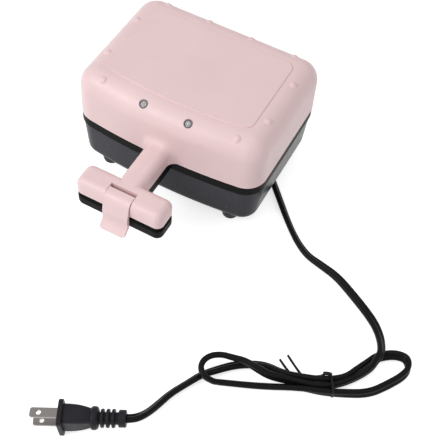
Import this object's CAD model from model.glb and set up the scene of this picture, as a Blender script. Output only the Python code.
import math

import bpy
from mathutils import Euler, Matrix, Vector


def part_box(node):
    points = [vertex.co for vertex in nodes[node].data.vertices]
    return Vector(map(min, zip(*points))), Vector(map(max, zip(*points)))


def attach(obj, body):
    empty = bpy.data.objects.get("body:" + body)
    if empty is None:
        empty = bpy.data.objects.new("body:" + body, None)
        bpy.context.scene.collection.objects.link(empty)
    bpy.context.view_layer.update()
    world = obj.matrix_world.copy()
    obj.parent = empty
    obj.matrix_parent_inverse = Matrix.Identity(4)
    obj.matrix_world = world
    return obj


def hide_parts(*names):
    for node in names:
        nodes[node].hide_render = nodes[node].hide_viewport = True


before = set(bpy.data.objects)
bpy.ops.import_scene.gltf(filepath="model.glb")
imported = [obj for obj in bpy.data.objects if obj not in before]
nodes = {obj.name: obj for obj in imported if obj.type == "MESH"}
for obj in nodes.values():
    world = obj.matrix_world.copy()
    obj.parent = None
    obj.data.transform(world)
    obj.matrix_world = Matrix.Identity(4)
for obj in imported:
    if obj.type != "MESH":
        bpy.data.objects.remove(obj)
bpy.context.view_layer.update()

# Lengths are in metres, in the frame of the part: +Z up, the handle towards -Y. The routes of the
# cord and its tie are written in millimetres.
mm = 0.001


# Camera

camera_place = (0.19933, -0.37930, 0.53300)
# Turned by these degrees about X, then Y, then Z, from looking straight down.
camera_angles = (35.7841, -3.5936, 27.9295)
focal_px = 881.55
frame_px = 440
sensor_mm = 36.0

camera_data = bpy.data.cameras.new("camera")
camera_data.sensor_fit = "HORIZONTAL"
camera_data.sensor_width = sensor_mm
camera_data.lens = focal_px / frame_px * sensor_mm
camera_data.clip_start = 0.01
camera_data.clip_end = 20.0
camera = bpy.data.objects.new("camera", camera_data)
bpy.context.scene.collection.objects.link(camera)
camera_turn = Euler([math.radians(angle) for angle in camera_angles]).to_matrix()
camera.matrix_world = Matrix.Translation(camera_place) @ camera_turn.to_4x4()
bpy.context.scene.camera = camera
bpy.context.scene.view_settings.view_transform = "Standard"


# Material helpers

# A mix node's colour sockets go by number, because they share their names with its other kinds.
mix_colour_a = 6
mix_colour_b = 7
mix_colour_out = 2

# Noise stays near its middle value, so this part of its range is spread over the whole of a change.
noise_low = 0.3
noise_high = 0.7


def srgb(r, g, b):
    """A display colour from 0 to 255 as the linear colour that shaders take."""
    def linear(v):
        v /= 255
        return v / 12.92 if v <= 0.04045 else ((v + 0.055) / 1.055) ** 2.4
    return (linear(r), linear(g), linear(b), 1.0)


class Shader:
    """A principled material with short calls for the nodes that feed it."""

    def __init__(self, name):
        self.material = bpy.data.materials.new(name)
        self.material.use_nodes = True
        self.tree = self.material.node_tree
        self.bsdf = self.tree.nodes["Principled BSDF"]
        self.place = self.node("ShaderNodeTexCoord").outputs["Object"]

    def node(self, kind, **inputs):
        """A new node of this kind, whose inputs are values or other nodes' outputs."""
        made = self.tree.nodes.new(kind)
        for key, value in inputs.items():
            self.feed(made.inputs[key], value)
        return made

    def feed(self, socket, value):
        if isinstance(value, bpy.types.NodeSocket):
            self.tree.links.new(value, socket)
        else:
            socket.default_value = value

    def set(self, **inputs):
        """Sets or feeds inputs of the shader itself, with _ for the spaces in their names."""
        for key, value in inputs.items():
            self.feed(self.bsdf.inputs[key.replace("_", " ")], value)

    def noise(self, scale, detail=2.0, rough=0.5, place=None):
        """Noise with about this many patches to a metre."""
        made = self.node("ShaderNodeTexNoise", Scale=scale, Detail=detail, Roughness=rough)
        self.feed(made.inputs["Vector"], self.place if place is None else place)
        return made.outputs["Fac"]

    def spread(self, value, low, high, start=0.0, end=1.0):
        """Runs from low to high while the value runs from start to end."""
        made = self.node("ShaderNodeMapRange")
        self.feed(made.inputs["Value"], value)
        made.inputs["From Min"].default_value = start
        made.inputs["From Max"].default_value = end
        made.inputs["To Min"].default_value = low
        made.inputs["To Max"].default_value = high
        return made.outputs["Result"]

    def mix(self, factor, a, b):
        """Colour a where the factor is 0, and b where it is 1."""
        made = self.tree.nodes.new("ShaderNodeMix")
        made.data_type = "RGBA"
        self.feed(made.inputs["Factor"], factor)
        self.feed(made.inputs[mix_colour_a], a)
        self.feed(made.inputs[mix_colour_b], b)
        return made.outputs[mix_colour_out]

    def combine(self, operation, a, b):
        made = self.tree.nodes.new("ShaderNodeMath")
        made.operation = operation
        self.feed(made.inputs[0], a)
        self.feed(made.inputs[1], b)
        return made.outputs["Value"]

    def bump(self, height, strength, distance):
        made = self.node("ShaderNodeBump", Strength=strength, Distance=distance, Height=height)
        return made.outputs["Normal"]


def scaled(colour, share):
    """The colour made paler or deeper by this share."""
    return tuple(min(1.0, v * share) for v in colour[:3]) + (1.0,)


def moulded(
    name, colour, rough, grain=0.00002, grain_scale=1800.0, tone=0.03, rough_spread=0.05, shine=0.5
):
    """A moulded plastic: fine grain, faint broad changes of tone and of gloss."""
    shader = Shader(name)
    broad = shader.noise(scale=22.0, detail=3.0)
    mottle = shader.noise(scale=140.0, detail=3.0)
    fine = shader.noise(scale=grain_scale)
    paler = shader.spread(broad, 0.0, 1.0, noise_low, noise_high)
    gloss = shader.spread(mottle, rough - rough_spread, rough + rough_spread, noise_low, noise_high)
    shader.set(
        Base_Color=shader.mix(paler, scaled(colour, 1 - tone), scaled(colour, 1 + tone)),
        Roughness=gloss,
        Specular_IOR_Level=shine,
        Normal=shader.bump(fine, strength=1.0, distance=grain),
    )
    return shader


def metal(name, colour, rough, streak=(1.0, 60.0, 1.0)):
    """Plated or pressed metal with faint drawn lines."""
    deep_share = 0.9
    pale_share = 1.06
    smoother = 0.06
    rougher = 0.08
    shader = Shader(name)
    stretch = shader.node("ShaderNodeMapping", Vector=shader.place, Scale=streak)
    lines = shader.noise(scale=60.0, detail=4.0, rough=0.6, place=stretch.outputs["Vector"])
    shader.set(
        Base_Color=shader.mix(lines, scaled(colour, deep_share), scaled(colour, pale_share)),
        Metallic=1.0,
        Roughness=shader.spread(lines, rough - smoother, rough + rougher, noise_low, noise_high),
        Normal=shader.bump(lines, strength=0.4, distance=0.00003),
    )
    return shader


def dress(shader, *names):
    """These nodes of the part get this material."""
    for name in names:
        for slot in nodes[name].material_slots:
            slot.material = shader.material


# Plastics and rubber

pink = moulded("pale_pink_plastic", srgb(234, 205, 206), rough=0.42)
black = moulded(
    "semi_gloss_black_plastic", srgb(15, 15, 16), rough=0.45, tone=0.12, rough_spread=0.03, shine=0.05
)
frame_black = moulded("matt_black_plastic", srgb(38, 38, 40), rough=0.5, tone=0.1)
rubber = moulded(
    "black_rubber",
    srgb(20, 20, 21),
    rough=0.55,
    grain=0.00004,
    grain_scale=900.0,
    tone=0.12,
    shine=0.25,
)
plug_black = moulded(
    "black_plug_vinyl", srgb(38, 37, 42), rough=0.42, grain=0.00003, tone=0.1, shine=0.14
)
cord_black = moulded(
    "black_lead_vinyl",
    srgb(19, 19, 20),
    rough=0.4,
    grain=0.00005,
    grain_scale=800.0,
    tone=0.15,
    shine=0.12,
)
tie_black = moulded("coated_tie", srgb(18, 18, 19), rough=0.5, tone=0.1, shine=0.25)
pale = moulded("pale_insulator", srgb(214, 208, 196), rough=0.5)
lamp_ring = moulded("lamp_ring", srgb(98, 84, 84), rough=0.3, tone=0.12)


def paler_below_band(shader):
    """Below its polished band the housing's wall has a fine spark texture that looks paler."""
    band_height = 0.0079
    handle_gap = 0.012
    blur = 0.0001
    wall_deep = srgb(57, 57, 62)
    wall_pale = srgb(67, 67, 73)
    extra_gloss = 0.2
    lower_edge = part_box("lower_plate")[1][2] - band_height
    handle_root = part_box("lower_plate_frame")[0][1] - handle_gap
    split = shader.node("ShaderNodeSeparateXYZ", Vector=shader.place)
    below = shader.spread(split.outputs["Z"], 1.0, 0.0, lower_edge - blur, lower_edge + blur)
    behind = shader.spread(split.outputs["Y"], 0.0, 1.0, handle_root - blur, handle_root + blur)
    textured = shader.combine("MULTIPLY", below, behind)
    smooth_colour = shader.bsdf.inputs["Base Color"].links[0].from_socket
    smooth_rough = shader.bsdf.inputs["Roughness"].links[0].from_socket
    sparks = shader.spread(shader.noise(scale=1500.0), 0.0, 1.0, start=0.35, end=0.65)
    wall_colour = shader.mix(sparks, wall_deep, wall_pale)
    glossier = shader.combine("MULTIPLY", textured, extra_gloss)
    shader.set(
        Base_Color=shader.mix(textured, smooth_colour, wall_colour),
        Roughness=shader.combine("SUBTRACT", smooth_rough, glossier),
    )


paler_below_band(black)


# Metals

steel = metal("plain_steel", srgb(190, 190, 193), rough=0.3)
blade_metal = metal("plated_blades", srgb(158, 152, 150), rough=0.36, streak=(30.0, 30.0, 1.0))
element = metal("element_sheath", srgb(150, 146, 140), rough=0.45)
bright_sheet = metal("bright_sheet", srgb(215, 215, 218), rough=0.25)


# The coating of the plates, with small flecks that shine more

coating = moulded(
    "non_stick_coating", srgb(46, 46, 48), rough=0.38, grain=0.00006, grain_scale=700.0, tone=0.15
)
flecks = coating.noise(scale=2600.0, detail=1.0)
coating.set(Specular_IOR_Level=coating.spread(flecks, low=0.3, high=0.9, start=0.6, end=0.75))


# The clear lenses of the indicator lamps, and the glow lamps behind them

lens = Shader("clear_lens")
lens.set(
    Base_Color=(0.93, 0.93, 0.95, 1.0),
    Roughness=0.08,
    IOR=1.49,
    Transmission_Weight=0.65,
    Normal=lens.bump(lens.noise(scale=420.0), strength=0.2, distance=0.00006),
)
glow = Shader("glow_lamp")
glow.set(
    Base_Color=srgb(110, 100, 100),
    Roughness=0.2,
    Normal=glow.bump(glow.noise(scale=900.0), strength=0.4, distance=0.00005),
)


# Which node has which material

dress(pink, "lid_shell", "latch", "upper_handle_cover")
dress(black, "base_shell", "lower_handle_cover")
for half in ("upper", "lower"):
    dress(coating, f"{half}_plate")
    dress(frame_black, f"{half}_plate_frame")
    dress(element, f"{half}_heater")
    dress(bright_sheet, f"{half}_reflector")
    dress(steel, f"{half}_frame_screws", f"{half}_reflector_screws")
for side in ("left", "right"):
    dress(lamp_ring, f"{side}_lamp_bezel")
    dress(lens, f"{side}_lamp_lens")
    dress(glow, f"{side}_lamp_neon")
    dress(pale, f"{side}_lamp_socket")
    dress(steel, f"{side}_hinge_pin")
    dress(rubber, f"front_{side}_foot", f"back_{side}_foot")
dress(steel, "latch_pin")
dress(bright_sheet, "thermostat", "thermal_fuse", "fuse_band")
dress(pale, "terminal_block", "cord_clamp")
dress(plug_black, "plug_body", "cord_gland")
dress(blade_metal, "plug_blades")


# The cord

# Route points in millimetres, each with how far the flat lead is turned on edge, in degrees.
route = [
    (10.0, 46.0, 15.4, 0),
    (30.0, 46.0, 15.4, 0),
    (51.3, 43.3, 3.4, 42),
    (66.8, 28.5, 3.4, 49),
    (99.5, -7.5, 3.3, 57),
    (117.1, -20.8, 3.0, 40),
    (130.3, -23.5, 2.7, 24),
    (143.4, -26.2, 2.5, 16),
    (154.6, -31.3, 2.4, 12),
    (180.8, -46.4, 2.5, 14),
    (191.0, -57.8, 4.6, 30),
    (196.3, -71.2, 9.6, 50),
    (195.3, -77.7, 9.6, 72),
    (194.0, -86.0, 5.8, 88),
    (182.1, -103.1, 4.9, 92),
    (169.9, -112.4, 4.9, 92),
    (155.5, -116.3, 3.9, 84),
    (147.0, -118.9, 4.5, 74),
    (137.6, -122.6, 6.8, 78),
    (128.6, -123.6, 9.8, 86),
    (119.1, -122.7, 9.8, 100),
    (111.5, -124.4, 9.8, 110),
    (103.3, -126.1, 9.8, 115),
    (96.6, -131.4, 10.0, 110),
    (94.7, -139.2, 10.0, 95),
    (99.4, -145.6, 10.0, 77),
    (107.0, -145.0, 6.8, 64),
    (111.1, -141.6, 3.6, 60),
    (136.0, -130.7, 3.4, 54),
    (157.8, -119.3, 3.7, 58),
    (171.6, -115.4, 4.6, 86),
    (185.0, -109.0, 4.2, 100),
    (199.9, -100.4, 3.6, 112),
    (209.4, -87.2, 3.5, 120),
    (215.6, -76.6, 3.5, 116),
    (216.6, -69.4, 3.6, 95),
    (212.9, -63.6, 3.4, 62),
    (206.2, -64.3, 3.3, 48),
    (200.5, -67.4, 3.1, 42),
    (194.6, -72.8, 3.1, 42),
    (191.0, -79.9, 3.4, 62),
    (186.9, -87.2, 3.9, 82),
    (181.4, -99.2, 4.9, 92),
    (168.1, -108.0, 4.9, 92),
    (155.2, -111.7, 3.7, 108),
    (143.2, -115.0, 3.4, 124),
    (131.4, -115.4, 3.3, 136),
    (120.0, -121.2, 3.2, 145),
    (112.3, -126.7, 3.1, 145),
    (104.0, -135.6, 3.2, 138),
    (98.0, -142.4, 3.3, 128),
    (92.5, -153.1, 3.4, 121),
    (86.6, -164.6, 3.4, 122),
    (84.0, -174.4, 4.3, 128),
    (82.2, -183.2, 7.6, 134),
    (80.2, -189.8, 11.4, 140),
    (76.8, -194.6, 13.0, 145),
    (70.62, -197.81, 12.56, 150),
]
lead_width = 0.0069
lead_height = 0.0040
# How far each core's round arc goes on from its outer side, in degrees, before the web starts.
core_arc = 128
line_steps = 10
profile_steps = 14


def new_curve(name):
    """An empty curve that may lie any way in space."""
    curve = bpy.data.curves.new(name, "CURVE")
    curve.dimensions = "3D"
    return curve


def add_spline(curve, places, closed=False):
    """A smooth line in the curve, with these places as its control points."""
    spline = curve.splines.new("NURBS")
    spline.points.add(len(places) - 1)
    for point, place in zip(spline.points, places):
        point.co = (*place, 1.0)
    spline.order_u = 3
    spline.use_cyclic_u = closed
    spline.use_endpoint_u = not closed
    return spline


def mesh_of(curve):
    """Turns a curve into a mesh of the same name, and removes the curve."""
    holder = bpy.data.objects.new(curve.name, curve)
    mesh = bpy.data.meshes.new_from_object(holder)
    mesh.name = curve.name
    bpy.data.objects.remove(holder)
    bpy.data.curves.remove(curve)
    return mesh


def add_piece(mesh, shader):
    """Puts a mesh in the scene as an object of the same name, with this material."""
    piece = bpy.data.objects.new(mesh.name, mesh)
    mesh.materials.append(shader.material)
    bpy.context.scene.collection.objects.link(piece)
    return piece


def smooth_line(places):
    """The places along a smooth curve with these control points."""
    curve = new_curve("cord_line")
    curve.resolution_u = line_steps
    add_spline(curve, places)
    mesh = mesh_of(curve)
    along = [vertex.co.copy() for vertex in mesh.vertices]
    bpy.data.meshes.remove(mesh)
    return along


def turns_along(places):
    """How far the lead is turned at each place, in radians, from the turns of the route's points."""
    last = len(route) - 2
    # A place that is n spans along the curve lies near the middle of the run after point n.
    half_run = 0.5
    turns = []
    for i in range(len(places)):
        at = half_run + last * i / (len(places) - 1)
        before = min(int(at), last)
        share = at - before
        degrees = route[before][3] * (1 - share) + route[before + 1][3] * share
        turns.append(math.radians(degrees))
    return turns


def twin_profile():
    """Two round cores side by side, joined by a web that leaves a groove each side."""
    core = lead_height / 2
    offset = lead_width / 2 - core
    points = []
    for side in (1, -1):
        for i in range(profile_steps + 1):
            angle = math.radians(core_arc * (2 * i / profile_steps - 1))
            points.append((side * (offset + core * math.cos(angle)), side * core * math.sin(angle)))
    return points


def sweep(name, places, turns, profile):
    """The mesh of a tube with this profile along these places, closed at both ends."""
    vertices = []
    faces = []
    count = len(profile)
    last = len(places) - 1
    for i, place in enumerate(places):
        ahead = (places[min(i + 1, last)] - places[max(i - 1, 0)]).normalized()
        across = ahead.cross(Vector((0, 0, 1))).normalized()
        up = across.cross(ahead)
        wide = across * math.cos(turns[i]) + up * math.sin(turns[i])
        narrow = up * math.cos(turns[i]) - across * math.sin(turns[i])
        for a, b in profile:
            vertices.append(place + wide * a + narrow * b)
    for start in range(0, last * count, count):
        for j in range(count):
            k = (j + 1) % count
            faces.append((start + j, start + k, start + count + k, start + count + j))
    faces.append(tuple(range(count - 1, -1, -1)))
    faces.append(tuple(range(last * count, last * count + count)))
    mesh = bpy.data.meshes.new(name)
    mesh.from_pydata([tuple(vertex) for vertex in vertices], [], faces)
    mesh.polygons.foreach_set("use_smooth", [True] * len(mesh.polygons))
    mesh.update()
    return mesh


line = smooth_line([[v * mm for v in point[:3]] for point in route])
cord = add_piece(sweep("flat_twin_lead", line, turns_along(line), twin_profile()), cord_black)


# The wire tie

# Its places are in millimetres: along the bundle from the tie, across it towards the viewer, and
# up from the floor.
tie_foot = (175.9, -107.9)
tie_along = (-0.855, -0.519)
tie_across = (0.519, -0.855)
tie_wire = 0.00085
tie_knot_swell = 1.5
tie_loop = [
    (0.0, -6.4, 0.9), (0.0, 0.0, 0.9), (0.0, 6.4, 0.9), (0.0, 7.4, 4.6),
    (0.0, 6.4, 9.2), (0.0, 0.0, 9.3), (0.0, -6.0, 9.3), (0.0, -7.2, 4.9),
]
tie_knot = [(-0.2, -5.2, 9.7), (1.4, -6.0, 9.9), (3.2, -6.4, 9.6), (4.8, -6.8, 8.8)]
tie_ends = [
    [(3.8, -7.0, 8.8), (5.0, -7.4, 0.9), (16.5, -8.4, 0.9), (19.6, -11.0, 1.8), (26.8, -22.2, 6.0)],
    [(3.8, -7.0, 7.6), (5.2, -7.6, 0.9), (24.5, -10.6, 0.9), (27.5, -13.0, 1.8), (32.2, -20.0, 4.6)],
]


def tie_place(along, across, z):
    """A place on the tie, in metres, in the frame of the part."""
    x = tie_foot[0] + tie_along[0] * along + tie_across[0] * across
    y = tie_foot[1] + tie_along[1] * along + tie_across[1] * across
    return (x * mm, y * mm, z * mm)


def bent_wire():
    """The mesh of the tie: its loop, its knot and its two loose ends."""
    curve = new_curve("wire_tie")
    curve.bevel_depth = tie_wire
    curve.bevel_resolution = 4
    curve.use_fill_caps = True
    add_spline(curve, [tie_place(*place) for place in tie_loop], closed=True)
    knot = add_spline(curve, [tie_place(*place) for place in tie_knot])
    for point in knot.points:
        point.radius = tie_knot_swell
    for places in tie_ends:
        add_spline(curve, [tie_place(*place) for place in places])
    return mesh_of(curve)


tie = add_piece(bent_wire(), tie_black)
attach(tie, "base")
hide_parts("twist_tie")

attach(cord, "base")
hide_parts("cord_lead", "cord_hank", "cord_tail")


# Floor

floor_reach = 6.0
floor_drop = 0.0001
white = (1.0, 1.0, 1.0, 1.0)


def floor_paper():
    """White paper that takes the object's shadow.

    It glows a little for what sees it: the camera, reflections and rays through clear pieces.
    """
    paper = Shader("white_paper")
    paper.set(
        Base_Color=(0.8, 0.8, 0.8, 1.0),
        Roughness=0.9,
        Normal=paper.bump(paper.noise(scale=300.0), strength=0.1, distance=0.0001),
    )
    ray = paper.node("ShaderNodeLightPath").outputs
    seen = paper.combine("MAXIMUM", ray["Is Camera Ray"], ray["Is Glossy Ray"])
    seen = paper.combine("MAXIMUM", seen, ray["Is Transmission Ray"])
    plain = paper.bsdf.outputs["BSDF"]
    glowing = paper.node("ShaderNodeEmission", Color=white, Strength=0.68)
    both = paper.node("ShaderNodeAddShader")
    paper.feed(both.inputs[0], plain)
    paper.feed(both.inputs[1], glowing.outputs["Emission"])
    blend = paper.node("ShaderNodeMixShader", Fac=seen)
    paper.feed(blend.inputs[1], plain)
    paper.feed(blend.inputs[2], both.outputs["Shader"])
    paper.feed(paper.tree.nodes["Material Output"].inputs["Surface"], blend.outputs["Shader"])
    return paper


floor_mesh = bpy.data.meshes.new("floor")
corners = [(x * floor_reach, y * floor_reach, 0) for x, y in ((-1, -1), (1, -1), (1, 1), (-1, 1))]
floor_mesh.from_pydata(corners, [], [(0, 1, 2, 3)])
floor = add_piece(floor_mesh, floor_paper())
floor.location.z = -floor_drop


# Backdrop and light

# A strength of 1 is white to the camera. The world lights the object with less.
world_strength = 0.6
seen_strength = 1.0
lamp_target = Vector((0.0, 0.0, 0.05))

world = bpy.data.worlds.new("studio")
world.use_nodes = True
bpy.context.scene.world = world
tree = world.node_tree
background = tree.nodes["Background"]
background.inputs["Color"].default_value = white
world_ray = tree.nodes.new("ShaderNodeLightPath")
strength = tree.nodes.new("ShaderNodeMapRange")
strength.inputs["To Min"].default_value = world_strength
strength.inputs["To Max"].default_value = seen_strength
tree.links.new(world_ray.outputs["Is Camera Ray"], strength.inputs["Value"])
tree.links.new(strength.outputs["Result"], background.inputs["Strength"])


def soft_lamp(name, place, size, power):
    """A square lamp at this place that faces the object."""
    data = bpy.data.lights.new(name, "AREA")
    data.shape = "SQUARE"
    data.size = size
    data.energy = power
    lamp = bpy.data.objects.new(name, data)
    lamp.location = place
    lamp.rotation_euler = (lamp_target - Vector(place)).to_track_quat("-Z", "Y").to_euler()
    bpy.context.scene.collection.objects.link(lamp)


soft_lamp("key", place=(-0.8, -1.1, 1.15), size=0.9, power=13.5)
soft_lamp("top", place=(0.15, 0.1, 1.5), size=0.8, power=1.9)
